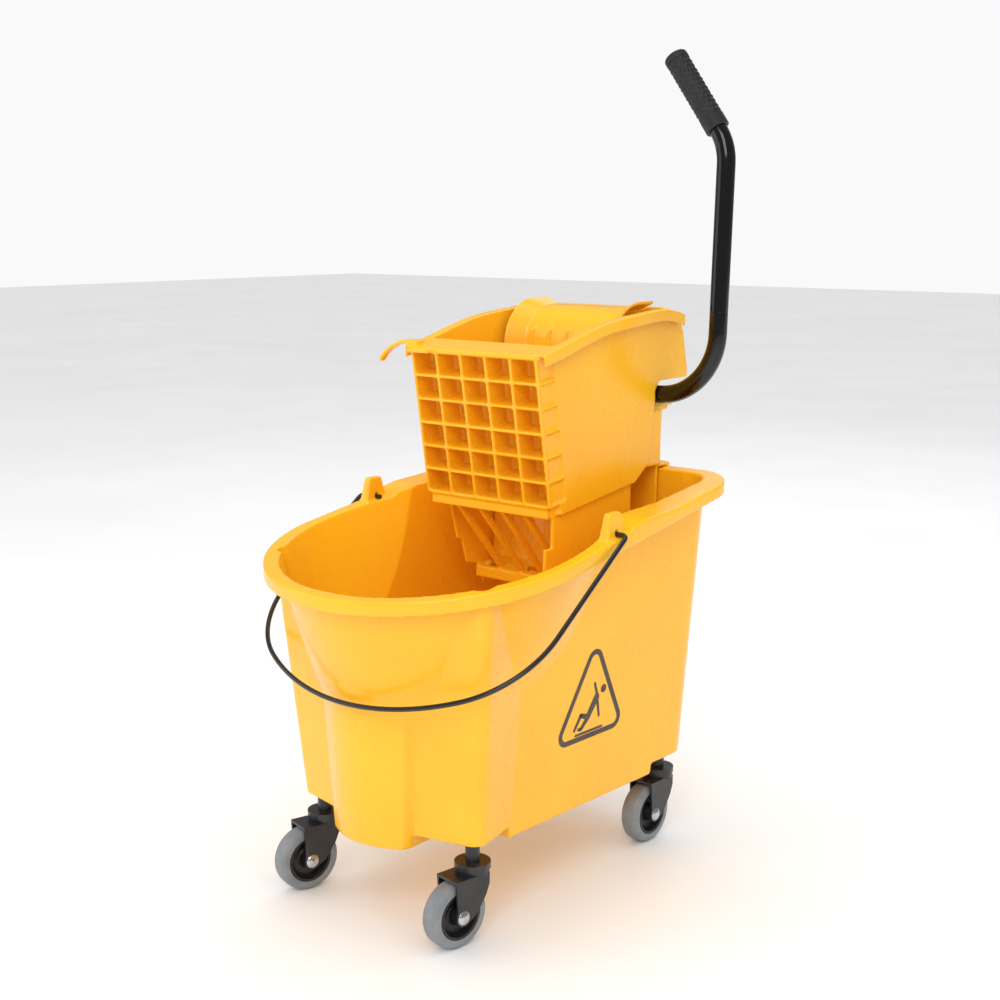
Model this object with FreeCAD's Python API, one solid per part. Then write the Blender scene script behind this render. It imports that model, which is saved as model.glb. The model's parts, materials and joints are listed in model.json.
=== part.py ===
"""Mop bucket with side-press wringer, four swivel casters, wire bail and press lever.

Frame: origin on the floor under the bail pivots, +Z up, -Y the rounded pouring front,
+Y the wringer end, +X the lever side. All sizes are in millimetres.
"""
import FreeCAD, Part
import os
from math import atan2, cos, degrees, hypot, pi, radians, sin, sqrt, tan

V = FreeCAD.Vector
X_AXIS = V(1, 0, 0)
Y_AXIS = V(0, 1, 0)
Z_AXIS = V(0, 0, 1)

# ---------------------------------------------------------------- driving sizes
# Bucket rim
rim_half_width = 195.0
rim_front_radius = 183.0        # front half of the rim outline, along Y
rim_front_centre_y = -94.0
rim_rear_y = 252.0
rim_corner_radius = 54.0
rim_height = 432.0              # rim top over the bail pivots
rim_slope = 0.15                # rise of the rim per millimetre towards the rear
rim_skirt = 16.0
rim_plate = 4.0
rim_overhang = 12.0
# Bucket body
wall = 4.0
pocket_rise = 14.0              # how far the caster corners are raised above the floor
body_top_z = rim_height + 68.0  # sections are lofted to here and trimmed at the rim
bowl_rise = 137.0               # from the bucket's floor to the lowest point of the bowl
bowl_side_flare = 0.33          # how fast the bowl widens, per millimetre of height
bowl_front_flare = 0.30
mould_draft = 0.079             # how fast the lower walls lean out, per millimetre of height
keel_draft = 0.058
bowl_rear_radius = 230.0
keel_half_width = 52.0
# Bail
bail_wire = 5.5
bail_pivot_z = rim_height + 3.5
bail_half_width = rim_half_width + 6.0
bail_arm = 152.0
bail_corner_radius = 122.0
bail_corner_turn = 60.6
bail_hang = 35.0                # degrees below level, towards the front
bail_play = 0.3
ear_x = rim_half_width - 14.0
ear_thick = 14.0
ear_base = 38.0
ear_top = 22.0
ear_height = 27.0
# Casters
wheel_radius = 37.5
wheel_width = 24.0
caster_trail = 26.0
caster_x = 114.0
caster_rear_x = 111.5
caster_front_y = -160.0
caster_rear_y = 208.0
fork_outer = 34.2
fork_sheet = 2.6
fork_crown_z = 2 * wheel_radius + 2.5
fork_reach = 10.0               # crown's edge ahead of the axle
race_lower_thick = 6.0
race_radius = 20.0
race_top_z = fork_crown_z + 13.5
stem_radius = 8.0
stem_length = 62.0
axle_radius = 4.0
axle_cap_radius = 8.0
tyre_inner = wheel_radius - 11.0
pocket_z = race_top_z + 22.0    # underside of the raised caster corners
floor_z = pocket_z - pocket_rise
bowl_low_z = floor_z + bowl_rise
# Wringer, drawn for a rim whose rear edge is at the seat and moved with it
seat_y = 252.0
seat_z = 469.8
hopper_half = 95.0
honey_half = hopper_half - 2.0
honey_top_y = -25.0
honey_top_z = 624.0
honey_low_y = 3.0
honey_low_z = 450.0
honey_depth = 34.0
honey_columns = 5
honey_rows = 6
honey_rib = 3.6
hopper_wall = 4.0
lower_half = hopper_half - 5.5
band_reach = 10.0
band_skirt = 14.0
grate_ribs = 4
grate_pitch = 33.0
grate_rib = 6.0
rear_wall_y = 226.0
hook_gap = 0.4
# Press plate
hinge_y = 110.0
hinge_z = 335.0
hinge_pin_radius = 4.0
knuckle_radius = 9.0
plate_lean = 8.6
plate_half = hopper_half - 13.0
plate_flange = 20.0
plate_face_half = plate_half - plate_flange
plate_sheet = 4.0
plate_top_radius = 48.0
plate_bend_z = 627.0
plate_rear_y = 224.0
press_angle = 18.0
# Lever
shaft_y = 225.0
shaft_z = 562.0
tube_radius = 11.0
tube_wall = 2.0
shaft_left = hopper_half - 13.0
shaft_right = hopper_half - 2.0
lever_bend = 78.0
lever_seam_z = 665.0
lever_straight_top = 838.0
lever_top_bend = 67.0
lever_top_turn = 36.5
grip_radius = tube_radius + 3.5
grip_length = 109.0
lever_lean = 2.5
lever_angle = 80.0
arm_x = 46.0
arm_thick = 10.0
arm_length = 62.0
arm_rest = 260.0                # direction of the cam arms at rest, from +Y towards +Z
pad_radius = 9.0
arm_hub_wall = 6.0
arm_pin_radius = 2.0
spring_wire = 1.3
spring_turns = 7
spring_pitch = 3.2
bearing_x = hopper_half - 29.0
bearing_thick = 8.0
# Fits
run_gap = 0.05                  # shaft or pin in its bore
free_gap = 0.4                  # between bodies that pass each other
side_gap = 1.0

nodes = {}


# ---------------------------------------------------------------- helpers
def save(name, shape):
    """Keep a finished piece under its node name."""
    nodes[name] = shape


def fuse(shapes):
    """One solid from overlapping shapes."""
    whole = shapes[0]
    if len(shapes) > 1:
        whole = whole.multiFuse(shapes[1:])
    return whole.removeSplitter()


def mirror_x(shape):
    """The same piece on the other side of the symmetry plane."""
    return shape.mirror(V(0, 0, 0), X_AXIS)


def turned(shape, centre, axis, angle):
    """A copy turned about an axis through centre, in degrees."""
    copy = shape.copy()
    copy.rotate(centre, axis, angle)
    return copy


def box(x0, x1, y0, y1, z0, z1):
    """A box between two corners."""
    return Part.makeBox(x1 - x0, y1 - y0, z1 - z0, V(x0, y0, z0))


def rod(radius, x0, x1, y, z):
    """A cylinder along X."""
    return Part.makeCylinder(radius, x1 - x0, V(x0, y, z), X_AXIS)


def yz_plate(points, x0, x1):
    """A plate cut from a polygon in the YZ plane, between two X positions."""
    corners = [V(x0, y, z) for y, z in points]
    corners.append(corners[0])
    return Part.Face(Part.makePolygon(corners)).extrude(V(x1 - x0, 0, 0))


def line_cross(p, u, q, v):
    """Crossing of the lines p + s*u and q + t*v in the plane."""
    bottom = u[0] * v[1] - u[1] * v[0]
    s = ((q[0] - p[0]) * v[1] - (q[1] - p[1]) * v[0]) / bottom
    return (p[0] + s * u[0], p[1] + s * u[1])


def inset_polygon(points, distance):
    """A clockwise or anticlockwise polygon moved inwards by a distance."""
    count = len(points)
    area = 0.0
    for i in range(count):
        a, b = points[i], points[(i + 1) % count]
        area += a[0] * b[1] - b[0] * a[1]
    side = 1.0 if area > 0 else -1.0
    lines = []
    for i in range(count):
        a, b = points[i], points[(i + 1) % count]
        length = hypot(b[0] - a[0], b[1] - a[1])
        u = ((b[0] - a[0]) / length, (b[1] - a[1]) / length)
        n = (-u[1] * side, u[0] * side)
        lines.append(((a[0] + n[0] * distance, a[1] + n[1] * distance), u))
    return [line_cross(*lines[i - 1], *lines[i]) for i in range(count)]


def rounded_wire(points, radii, z):
    """A closed wire at height z with each corner rounded by its radius."""
    count = len(points)
    cuts = []
    for i in range(count):
        p, a, b = points[i], points[i - 1], points[(i + 1) % count]
        la, lb = hypot(a[0] - p[0], a[1] - p[1]), hypot(b[0] - p[0], b[1] - p[1])
        ua = ((a[0] - p[0]) / la, (a[1] - p[1]) / la)
        ub = ((b[0] - p[0]) / lb, (b[1] - p[1]) / lb)
        half = atan2(hypot(ua[0] - ub[0], ua[1] - ub[1]), hypot(ua[0] + ub[0], ua[1] + ub[1]))
        reach = radii[i] / tan(half)
        mid = (ua[0] + ub[0], ua[1] + ub[1])
        mid_length = hypot(*mid)
        away = radii[i] / sin(half) - radii[i]
        cuts.append((V(p[0] + ua[0] * reach, p[1] + ua[1] * reach, z),
                     V(p[0] + mid[0] / mid_length * away, p[1] + mid[1] / mid_length * away, z),
                     V(p[0] + ub[0] * reach, p[1] + ub[1] * reach, z)))
    edges = []
    for i in range(count):
        start, middle, end = cuts[i]
        edges.append(Part.Arc(start, middle, end).toShape())
        edges.append(Part.LineSegment(end, cuts[(i + 1) % count][0]).toShape())
    return Part.Wire(edges)


def half_ellipse(centre, half, reach):
    """Half ellipse from centre + half in X, round centre + reach in Y, to centre - half in X."""
    ahead = V(0, reach, 0)
    if half >= abs(reach):
        ellipse = Part.Ellipse(centre + V(half, 0, 0), centre + ahead, centre)
        return Part.ArcOfEllipse(ellipse, 0, pi).toShape()
    ellipse = Part.Ellipse(centre + ahead, centre - V(half, 0, 0), centre)
    return Part.ArcOfEllipse(ellipse, -pi / 2, pi / 2).toShape()


def tube_along(edges, outer, inner):
    """A round tube swept along joined edges; inner 0 makes it solid."""
    path = Part.Wire(edges)
    start = edges[0].valueAt(edges[0].FirstParameter)
    direction = edges[0].tangentAt(edges[0].FirstParameter)
    solid = path.makePipeShell([Part.Wire([Part.makeCircle(outer, start, direction)])], True, True)
    if inner > 0:
        hole = path.makePipeShell([Part.Wire([Part.makeCircle(inner, start, direction)])], True, True)
        solid = solid.cut(hole)
    return solid


def blend_size(low, high, z, z_low, z_high):
    """Straight-line value between two heights."""
    return low + (high - low) * (z - z_low) / (z_high - z_low)


def rim_z(y):
    """Height of the rim's top face."""
    return rim_height + rim_slope * y


# ---------------------------------------------------------------- bucket
bowl_top_half_width = rim_half_width - rim_overhang
bowl_top_front = rim_front_radius - rim_overhang
body_rear_y = rim_rear_y - rim_overhang


def rim_prism(inset):
    """Upright solid with the rim's plan outline, moved in by inset."""
    half, front = rim_half_width - inset, rim_front_radius - inset
    rear, corner = rim_rear_y - inset, rim_corner_radius - inset
    centre_y = rim_front_centre_y
    across = corner * (1 - sqrt(0.5))
    edges = [
        half_ellipse(V(0, centre_y, 0), half, -front),
        Part.LineSegment(V(-half, centre_y, 0), V(-half, rear - corner, 0)).toShape(),
        Part.Arc(V(-half, rear - corner, 0), V(-half + across, rear - across, 0), V(-half + corner, rear, 0)).toShape(),
        Part.LineSegment(V(-half + corner, rear, 0), V(half - corner, rear, 0)).toShape(),
        Part.Arc(V(half - corner, rear, 0), V(half - across, rear - across, 0), V(half, rear - corner, 0)).toShape(),
        Part.LineSegment(V(half, rear - corner, 0), V(half, centre_y, 0)).toShape()]
    return Part.Face(Part.Wire(edges)).extrude(V(0, 0, body_top_z + 60))


def rim_slab(top_drop, depth):
    """Slab that follows the rim's slope, from top_drop below the rim face down by depth."""
    reach = 600.0
    points = [(-reach, rim_z(-reach) - top_drop), (reach, rim_z(reach) - top_drop),
              (reach, rim_z(reach) - top_drop - depth), (-reach, rim_z(-reach) - top_drop - depth)]
    return yz_plate(points, -reach, reach)


def bowl_wire(z, inset):
    """Egg-shaped section of the upper bowl at height z."""
    half = bowl_top_half_width + (z - rim_z(rim_front_centre_y)) * bowl_side_flare - inset
    front = bowl_top_front + (z - rim_z(rim_front_centre_y - rim_front_radius)) * bowl_front_flare - inset
    rear = bowl_rear_radius - inset
    centre = V(0, rim_front_centre_y, z)
    return Part.Wire([half_ellipse(centre, half, -front), half_ellipse(centre, half, rear)])


def bowl_solid(inset, low_z):
    """Upper bowl, inset by the wall for its hollow."""
    return Part.makeLoft([bowl_wire(low_z, inset), bowl_wire(body_top_z, inset)], True, True)


# Right half of the lower body's floor in plan: crown of the keel's curved front, keel corner, step,
# caster column's corner, valley before the flat side panel, rear corner; and their rounding radii.
floor_corners = [(0.0, -232.0), (keel_half_width, -204.0), (keel_half_width + 6, -189.5), (135.0, -173.0),
                 (121.0, -104.0), (138.0, body_rear_y - 2)]
floor_radii = [85.0, 5.0, 3.0, 16.0, 14.0, 34.0]
hollow_corners = (2, 4)


def lower_wire(z, inset):
    """Faceted section of the lower body at height z: every wall but the rear one leans out."""
    half = floor_corners[1:]
    points = [floor_corners[0]] + half + [(-x, y) for x, y in reversed(half)]
    radii = floor_radii + floor_radii[:0:-1]
    leaned_out = inset_polygon(points, -mould_draft * (z - floor_z))
    for i in (0, 1, -1):
        keel_back = (mould_draft - keel_draft) * (z - floor_z)
        leaned_out[i] = (leaned_out[i][0], leaned_out[i][1] + keel_back)
    rear_y = blend_size(body_rear_y - 2, body_rear_y, z, floor_z, rim_height)
    rear = len(half)
    leaned_out[rear] = (leaned_out[rear][0], rear_y)
    leaned_out[rear + 1] = (leaned_out[rear + 1][0], rear_y)
    inward = hollow_corners + tuple(len(points) - i for i in hollow_corners)
    sizes = [r + inset if i in inward else max(r - inset, 1.0) for i, r in enumerate(radii)]
    return rounded_wire(inset_polygon(leaned_out, inset), sizes, z)


def lower_solid(inset, low_z):
    """Lower body, inset by the wall for its hollow."""
    return Part.makeLoft([lower_wire(low_z, inset), lower_wire(body_top_z, inset)], True, True)


def corner_block(grow, top_z):
    """The four raised caster corners, grown by the wall for the hollow above them."""
    front_x, front_y = keel_half_width + 4 - grow, -106.0 + grow
    rear_x, rear_y = caster_rear_x - 32 - grow, caster_rear_y - 50 - grow
    outside = 260.0
    blocks = [box(front_x, outside, -outside, front_y, 0, top_z), box(rear_x, outside, rear_y, outside + 40, 0, top_z)]
    return blocks + [mirror_x(block) for block in blocks]


def ear(side):
    """Tapered lug that carries one end of the bail, with a snap-in slot over its hole."""
    base_z = rim_z(0) - rim_plate
    sections = []
    for length, thick, z in ((ear_base, ear_thick, base_z), (ear_top, ear_thick - 5, base_z + rim_plate + ear_height)):
        corners = [(ear_x - thick / 2, -length / 2), (ear_x + thick / 2, -length / 2),
                   (ear_x + thick / 2, length / 2), (ear_x - thick / 2, length / 2)]
        sections.append(rounded_wire(corners, [3.0] * 4, z))
    lug = Part.makeLoft(sections, True, True)
    hole_radius = bail_wire / 2 + bail_play
    lug = lug.cut(rod(hole_radius, ear_x - ear_thick, ear_x + ear_thick, 0, bail_pivot_z))
    slot = box(ear_x - ear_thick, ear_x + ear_thick, -1.4, 1.4, bail_pivot_z, bail_pivot_z + 12)
    lug = lug.cut(slot)
    return lug if side > 0 else mirror_x(lug)


# Place of each caster, and the degrees that its free swivel has turned from straight ahead
caster_places = {"front_right": (caster_x, caster_front_y, 10.0), "front_left": (-caster_x, caster_front_y, 16.0),
                 "rear_right": (caster_rear_x, caster_rear_y, 2.0), "rear_left": (-caster_rear_x, caster_rear_y, 6.0)}
stem_top_z = race_top_z + stem_length


def bucket_body():
    """One-piece moulded bucket: bowl, faceted lower body, rim, ears and caster sockets."""
    outer = bowl_solid(0, bowl_low_z).fuse(lower_solid(0, floor_z))
    outer = outer.cut(corner_block(0, pocket_z)[0].multiFuse(corner_block(0, pocket_z)[1:]))
    hollow = bowl_solid(wall, bowl_low_z + wall).fuse(lower_solid(wall, floor_z + wall))
    raised = corner_block(wall, pocket_z + wall)
    hollow = hollow.cut(raised[0].multiFuse(raised[1:]))
    shell = outer.cut(hollow).cut(rim_slab(-200.0, 200.0))
    top = rim_prism(0).common(rim_slab(0, rim_plate)).cut(hollow)
    skirt = rim_prism(0).cut(rim_prism(rim_plate - 0.5)).common(rim_slab(rim_plate - 0.5, rim_skirt - rim_plate))
    raised_shelf = yz_plate([(14, rim_z(14) - 1), (24, rim_z(24) + 5), (50, rim_z(50) + 6.5), (120, rim_z(120)),
                             (120, rim_z(120) - 1)], -rim_half_width, rim_half_width)
    raised_shelf = raised_shelf.common(rim_prism(0)).cut(hollow)
    body = shell.multiFuse([top, skirt, ear(1), ear(-1), raised_shelf])
    sockets = []
    for x, y, heading in caster_places.values():
        sockets.append(Part.makeCylinder(stem_radius + wall, stem_top_z + wall - pocket_z, V(x, y, pocket_z)))
    body = body.multiFuse(sockets)
    for x, y, heading in caster_places.values():
        body = body.cut(Part.makeCylinder(stem_radius, stem_top_z - pocket_z + 20, V(x, y, pocket_z - 20)))
    return body.removeSplitter()


save("bucket_body", bucket_body())


# ---------------------------------------------------------------- bail
def bail():
    """Bent steel wire: hooked ends in the ears, straight arms, rounded front."""
    turn = radians(bail_corner_turn)
    inner_end = ear_x - ear_thick / 2 - 5
    hook_radius = 7.0
    half = bail_half_width
    corner_x = half - bail_corner_radius
    front_radius = bail_corner_radius + corner_x / cos(turn)
    front_centre = bail_arm - corner_x * tan(turn)

    def at(x, r):
        return V(x, -r, 0)

    def corner(angle):
        return (corner_x + bail_corner_radius * cos(angle), bail_arm + bail_corner_radius * sin(angle))

    hook_mid = hook_radius * (1 - sqrt(0.5))
    right = [
        Part.LineSegment(at(inner_end, 0), at(half - hook_radius, 0)).toShape(),
        Part.Arc(at(half - hook_radius, 0), at(half - hook_mid, hook_mid), at(half, hook_radius)).toShape(),
        Part.LineSegment(at(half, hook_radius), at(half, bail_arm)).toShape(),
        Part.Arc(at(half, bail_arm), at(*corner(turn / 2)), at(*corner(turn))).toShape()]
    start = corner(turn)
    front = Part.Arc(at(*start), at(0, front_centre + front_radius), at(-start[0], start[1])).toShape()
    left = [
        Part.Arc(at(-start[0], start[1]), at(-corner(turn / 2)[0], corner(turn / 2)[1]), at(-half, bail_arm)).toShape(),
        Part.LineSegment(at(-half, bail_arm), at(-half, hook_radius)).toShape(),
        Part.Arc(at(-half, hook_radius), at(-half + hook_mid, hook_mid), at(-half + hook_radius, 0)).toShape(),
        Part.LineSegment(at(-half + hook_radius, 0), at(-inner_end, 0)).toShape()]
    wire = tube_along(right + [front] + left, bail_wire / 2, 0)
    wire.translate(V(0, 0, bail_pivot_z))
    wire.rotate(V(0, 0, bail_pivot_z), X_AXIS, bail_hang)
    return wire


save("bail", bail())


# ---------------------------------------------------------------- casters
def revolve_wheel(points):
    """Solid of revolution about the wheel's own axle, from (x, radius) points."""
    corners = [V(x, 0, r) for x, r in points]
    corners.append(corners[0])
    return Part.Face(Part.makePolygon(corners)).revolve(V(0, 0, 0), X_AXIS, 360)


def tyre():
    """Grey tread with rounded shoulders."""
    half = wheel_width / 2
    shoulder = 7.0
    mid = shoulder * (1 - sqrt(0.5))
    edges = [
        Part.LineSegment(V(-half, 0, tyre_inner), V(half, 0, tyre_inner)).toShape(),
        Part.LineSegment(V(half, 0, tyre_inner), V(half, 0, wheel_radius - shoulder)).toShape(),
        Part.Arc(V(half, 0, wheel_radius - shoulder), V(half - mid, 0, wheel_radius - mid),
                 V(half - shoulder, 0, wheel_radius)).toShape(),
        Part.LineSegment(V(half - shoulder, 0, wheel_radius), V(-half + shoulder, 0, wheel_radius)).toShape(),
        Part.Arc(V(-half + shoulder, 0, wheel_radius), V(-half + mid, 0, wheel_radius - mid),
                 V(-half, 0, wheel_radius - shoulder)).toShape(),
        Part.LineSegment(V(-half, 0, wheel_radius - shoulder), V(-half, 0, tyre_inner)).toShape()]
    return Part.Face(Part.Wire(edges)).revolve(V(0, 0, 0), X_AXIS, 360)


def wheel_core():
    """Black moulded centre with a dished face, a hub and its bore."""
    half, hub_half = wheel_width / 2, fork_outer / 2 - fork_sheet - free_gap
    rim_thick, web_half, hub_radius = 3.0, 3.0, 9.0
    bore = axle_radius + run_gap
    right = [(half, tyre_inner), (half, tyre_inner - rim_thick), (web_half, tyre_inner - rim_thick - 4),
             (web_half, hub_radius + 2), (hub_half, hub_radius), (hub_half, bore)]
    left = [(-x, r) for x, r in reversed(right)]
    return revolve_wheel(right + left)


def fork():
    """Stamped steel fork: crown plate, two tapered legs and the lower race cup."""
    half = fork_outer / 2
    front, rear = -caster_trail - fork_reach, 10.0
    top = fork_crown_z + fork_sheet
    boss = 9.8
    leg_points = [(front, top), (rear, top), (rear, fork_crown_z - 10), (rear - 5, fork_crown_z - 22),
                  (rear - 12, wheel_radius + 8), (-caster_trail + 16, wheel_radius - 2),
                  (-caster_trail + 4, wheel_radius - boss + 1), (-caster_trail - 8, wheel_radius - 2), (front + 1, 60.0)]
    pieces = []
    for x0 in (-half, half - fork_sheet):
        pieces.append(yz_plate(leg_points, x0, x0 + fork_sheet))
        pieces.append(rod(boss, x0, x0 + fork_sheet, -caster_trail, wheel_radius))
    pieces.append(box(-half, half, front, rear, fork_crown_z, top))
    pieces.append(Part.makeCylinder(half, fork_sheet, V(0, 0, fork_crown_z)))
    pieces.append(Part.makeCylinder(race_radius - 1.5, race_lower_thick, V(0, 0, fork_crown_z)))
    whole = fuse(pieces).cut(rod(axle_radius, -half - 1, half + 1, -caster_trail, wheel_radius))
    return whole.cut(Part.makeCylinder(stem_radius - 2 + free_gap, 20, V(0, 0, fork_crown_z - 5)))


def stem():
    """Threaded-in stem with its upper race cup and the king pin that the fork hangs on."""
    cup_low = fork_crown_z + race_lower_thick + free_gap
    cup = Part.makeCylinder(race_radius, race_top_z - cup_low, V(0, 0, cup_low))
    post = Part.makeCylinder(stem_radius, stem_length, V(0, 0, race_top_z))
    head_thick = 1.0
    king = Part.makeCylinder(stem_radius - 2, cup_low - fork_crown_z + 1, V(0, 0, fork_crown_z - free_gap))
    head = Part.makeCylinder(stem_radius + 1, head_thick, V(0, 0, fork_crown_z - free_gap - head_thick))
    return fuse([cup, post, king, head])


def axle():
    """Axle pin with a domed head and a domed nut."""
    reach = fork_outer / 2
    pin = rod(axle_radius, -reach - 1, reach + 1, 0, 0)
    dome_height = 3.4
    dome_radius = (axle_cap_radius ** 2 + dome_height ** 2) / (2 * dome_height)
    caps = []
    for side in (-1, 1):
        ball = Part.makeSphere(dome_radius, V(side * (reach + dome_height - dome_radius), 0, 0))
        window = rod(axle_cap_radius, reach if side > 0 else -reach - 6, reach + 6 if side > 0 else -reach, 0, 0)
        caps.append(ball.common(window))
    return fuse([pin] + caps)


def place_caster(shape, x, y, heading):
    """Turn a caster piece to its heading and put it under its socket."""
    placed = turned(shape, V(0, 0, 0), Z_AXIS, -heading)
    placed.translate(V(x, y, 0))
    return placed


def at_axle(shape):
    """Move a piece made round the origin to the wheel's centre."""
    moved = shape.copy()
    moved.translate(V(0, -caster_trail, wheel_radius))
    return moved


caster_pieces = {"caster_stem": stem(), "caster_fork": fork(), "caster_axle": at_axle(axle()),
                 "caster_wheel": at_axle(wheel_core()), "caster_tyre": at_axle(tyre())}
for corner_name, place in caster_places.items():
    for piece_name, piece in caster_pieces.items():
        save(piece_name + "_" + corner_name, place_caster(piece, *place))


# ---------------------------------------------------------------- wringer housing
honey_rise = hypot(honey_top_y - honey_low_y, honey_top_z - honey_low_z)
honey_lean = degrees(atan2(honey_low_y - honey_top_y, honey_top_z - honey_low_z))


def on_front(shape):
    """Lean a piece made upright at the origin onto the wringer's front."""
    placed = turned(shape, V(0, 0, 0), X_AXIS, honey_lean)
    placed.translate(V(0, honey_low_y, honey_low_z))
    return placed


def honeycomb():
    """Ribbed front wall: rows and columns of square cells and open-sided cells at both ends."""
    block = box(-honey_half, honey_half, 0, honey_depth, 0, honey_rise)
    cell_w = (2 * honey_half - honey_rib) / honey_columns
    cell_h = (honey_rise - honey_rib) / honey_rows
    cell_depth = honey_depth - hopper_wall
    cells = []
    for row in range(honey_rows):
        z0 = honey_rib + row * cell_h
        z1 = z0 + cell_h - honey_rib
        for column in range(honey_columns):
            x0 = -honey_half + honey_rib + column * cell_w
            cells.append(box(x0, x0 + cell_w - honey_rib, -1, cell_depth, z0, z1))
        deep = box(honey_half - 9, honey_half + 1, cell_depth + 2.5, honey_depth + 8, z0, z1)
        shallow = box(honey_half - 1.4, honey_half + 1, honey_rib, honey_depth + 8, z0, z1)
        cells += [deep, shallow, mirror_x(deep), mirror_x(shallow)]
    return on_front(block.cut(cells))


def band_curve(drop):
    """Top line of the hopper's side wall, lowered by drop."""
    points = [(-22.0, 628.0), (24.0, 638.5), (91.0, 655.0), (172.0, 664.0), (236.0, 665.0), (262.0, 658.0)]
    curve = Part.BSplineCurve()
    curve.interpolate([V(0, y, z - drop) for y, z in points])
    return curve


def band_strip(depth, x0, x1):
    """Strip under the hopper's top line, between two X positions."""
    high, low = band_curve(0), band_curve(depth)
    a, b = high.value(high.FirstParameter), high.value(high.LastParameter)
    c, d = low.value(low.FirstParameter), low.value(low.LastParameter)
    wire = Part.Wire([high.toShape(), Part.LineSegment(b, d).toShape(), low.toShape(),
                      Part.LineSegment(c, a).toShape()])
    strip = Part.Face(wire).extrude(V(x1 - x0, 0, 0))
    strip.translate(V(x0, 0, 0))
    return strip


ledge_front = (22.0, 441.0)
ledge_rear = (171.0, 459.0)
hood_low_z = 579.0
hood_rear_y = 284.0


def lower_wall(side, front_points):
    """Recessed wall under the hopper's ledge, down to the plate's hinge."""
    points = front_points + [(hinge_y + 14, 320.0), (171.0, 380.0), (171.0, 470.0), (60.0, 458.0), (30.0, 452.0)]
    wall_plate = yz_plate(points, lower_half - hopper_wall, lower_half)
    return wall_plate if side > 0 else mirror_x(wall_plate)


def side_wall():
    """Right side of the hopper: tall upper wall, rim band, ledge, rear leg and hinge boss."""
    x0, x1 = hopper_half - hopper_wall, hopper_half
    high = band_curve(0)
    points = [(262.0, 658.0), (273.0, 636.0), (hood_rear_y, 590.0), (hood_rear_y - 1, hood_low_z),
              (shaft_y - 3, hood_low_z), (shaft_y - tube_radius - 2, shaft_z + 6),
              (shaft_y - tube_radius - 2, shaft_z - 10), (199.0, 478.0), ledge_rear, ledge_front,
              (honey_low_y + 19, honey_low_z + 4), (honey_top_y + 6, honey_top_z - 10), (-22.0, 628.0)]
    edges = [high.toShape()]
    for a, b in zip(points, points[1:]):
        edges.append(Part.LineSegment(V(0, a[0], a[1]), V(0, b[0], b[1])).toShape())
    upper = Part.Face(Part.Wire(edges)).extrude(V(x1 - x0, 0, 0))
    upper.translate(V(x0, 0, 0))
    shelf_points = [(18.0, 441.5), (171.0, 459.5), (171.0, 463.5), (18.0, 445.5)]
    shelf = yz_plate(shelf_points, lower_half - hopper_wall, hopper_half - 1)
    leg_points = [(192.0, 474.0), (rear_wall_y + 4, 474.0), (rear_wall_y + 4, shaft_z - tube_radius - 8),
                  (205.0, shaft_z - tube_radius - 8)]
    leg = yz_plate(leg_points, hopper_half - 2 * hopper_wall + 1, hopper_half - 2)
    band = [band_strip(3.5, x0, x1 + band_reach), band_strip(band_skirt, x1 + band_reach - 3, x1 + band_reach)]
    boss = rod(knuckle_radius + 3, lower_half - 10, lower_half, hinge_y, hinge_z)
    return [upper, shelf, leg, boss] + band


def rear_frame():
    """Rear wall inside the bucket, hooks over its rim, gussets and the two bearing cheeks."""
    inner = hopper_half - 2 * hopper_wall + 2
    hook_z = seat_z + hook_gap
    wall_plate = box(-inner, inner, rear_wall_y, rear_wall_y + 4, 330.0, 496.0)
    pieces = [wall_plate]
    for side in (-1, 1):
        x0, x1 = (bearing_x, inner) if side > 0 else (-inner, -bearing_x)
        pieces.append(box(x0, x1, rear_wall_y, seat_y + 6, hook_z, hook_z + 4))
        pieces.append(box(x0, x1, seat_y + 2, seat_y + 6, hook_z - 11, hook_z + 4))
        gusset = [(rear_wall_y - 22, 474.0), (rear_wall_y + 8, 474.0), (rear_wall_y + 12, 541.0),
                  (rear_wall_y + 24, 541.0), (rear_wall_y + 24, 546.0), (rear_wall_y + 34, 546.0),
                  (rear_wall_y + 34, shaft_z - tube_radius - 3), (rear_wall_y - 16, shaft_z - tube_radius - 3)]
        g0, g1 = (bearing_x + bearing_thick, inner) if side > 0 else (-inner, -bearing_x - bearing_thick)
        pieces.append(yz_plate(gusset, g0, g1))
        cheek = [(rear_wall_y - 22, 470.0), (rear_wall_y + 4, 470.0), (shaft_y + 24, shaft_z - 18),
                 (shaft_y + 22, shaft_z + 20), (shaft_y - 20, shaft_z + 20), (shaft_y - 22, shaft_z - 20)]
        c0, c1 = (bearing_x, bearing_x + bearing_thick) if side > 0 else (-bearing_x - bearing_thick, -bearing_x)
        pieces.append(yz_plate(cheek, c0, c1))
    return pieces


def hood():
    """Cover over the lever shaft, open underneath, with the raised rear rim."""
    half = hopper_half - 1
    roof = [(230.0, 668.0), (236.0, 668.0), (262.0, 659.0), (274.0, 636.0), (hood_rear_y, 590.0),
            (hood_rear_y - 1, hood_low_z), (hood_rear_y - 5, hood_low_z), (hood_rear_y - 4, 590.0),
            (270.0, 634.0), (259.0, 655.0), (234.0, 664.0), (234.0, 656.0), (230.0, 656.0)]
    return [yz_plate(roof, -half, half)]


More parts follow.
